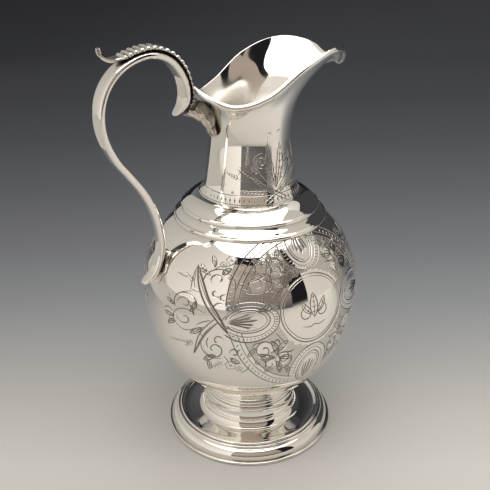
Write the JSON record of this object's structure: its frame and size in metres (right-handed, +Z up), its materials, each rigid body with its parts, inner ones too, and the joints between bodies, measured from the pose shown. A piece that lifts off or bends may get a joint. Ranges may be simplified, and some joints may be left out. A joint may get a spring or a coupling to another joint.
{
  "type": "water pitcher",
  "caption": "Footed silver water pitcher: engraved round body, slender neck with a high open spout and reeded rim, and a scroll handle with a leaf thumb-piece.",
  "frame": {"origin": "centre of the foot ring, in the plane that the pitcher stands on", "axes": "+Z up along the axis of the body, +X towards the spout, the handle on the -X side, the larger engraved panel on the -Y side"},
  "size_m": [0.1483, 0.124, 0.2366],
  "materials": {
    "polished_silver": "polished silver, engraved, slightly warm, with grey tarnish in the cuts",
    "cast_silver": "cast and chased silver, softer polish with grey in the recesses"
  },
  "bodies": {
    "root": {"body_bowl": "polished_silver", "shoulder_lower_step": "polished_silver", "shoulder_upper_step": "polished_silver", "neck_and_spout": "polished_silver", "rim_wire": "polished_silver", "foot_collar": "polished_silver", "foot": "polished_silver", "foot_base_wire": "polished_silver", "handle_outer_shell": "polished_silver", "handle_inner_shell": "polished_silver", "handle_scroll_end": "cast_silver", "handle_leaf": "cast_silver", "handle_upper_bracket": "cast_silver", "handle_lower_mount": "cast_silver"}
  },
  "joints": []
}
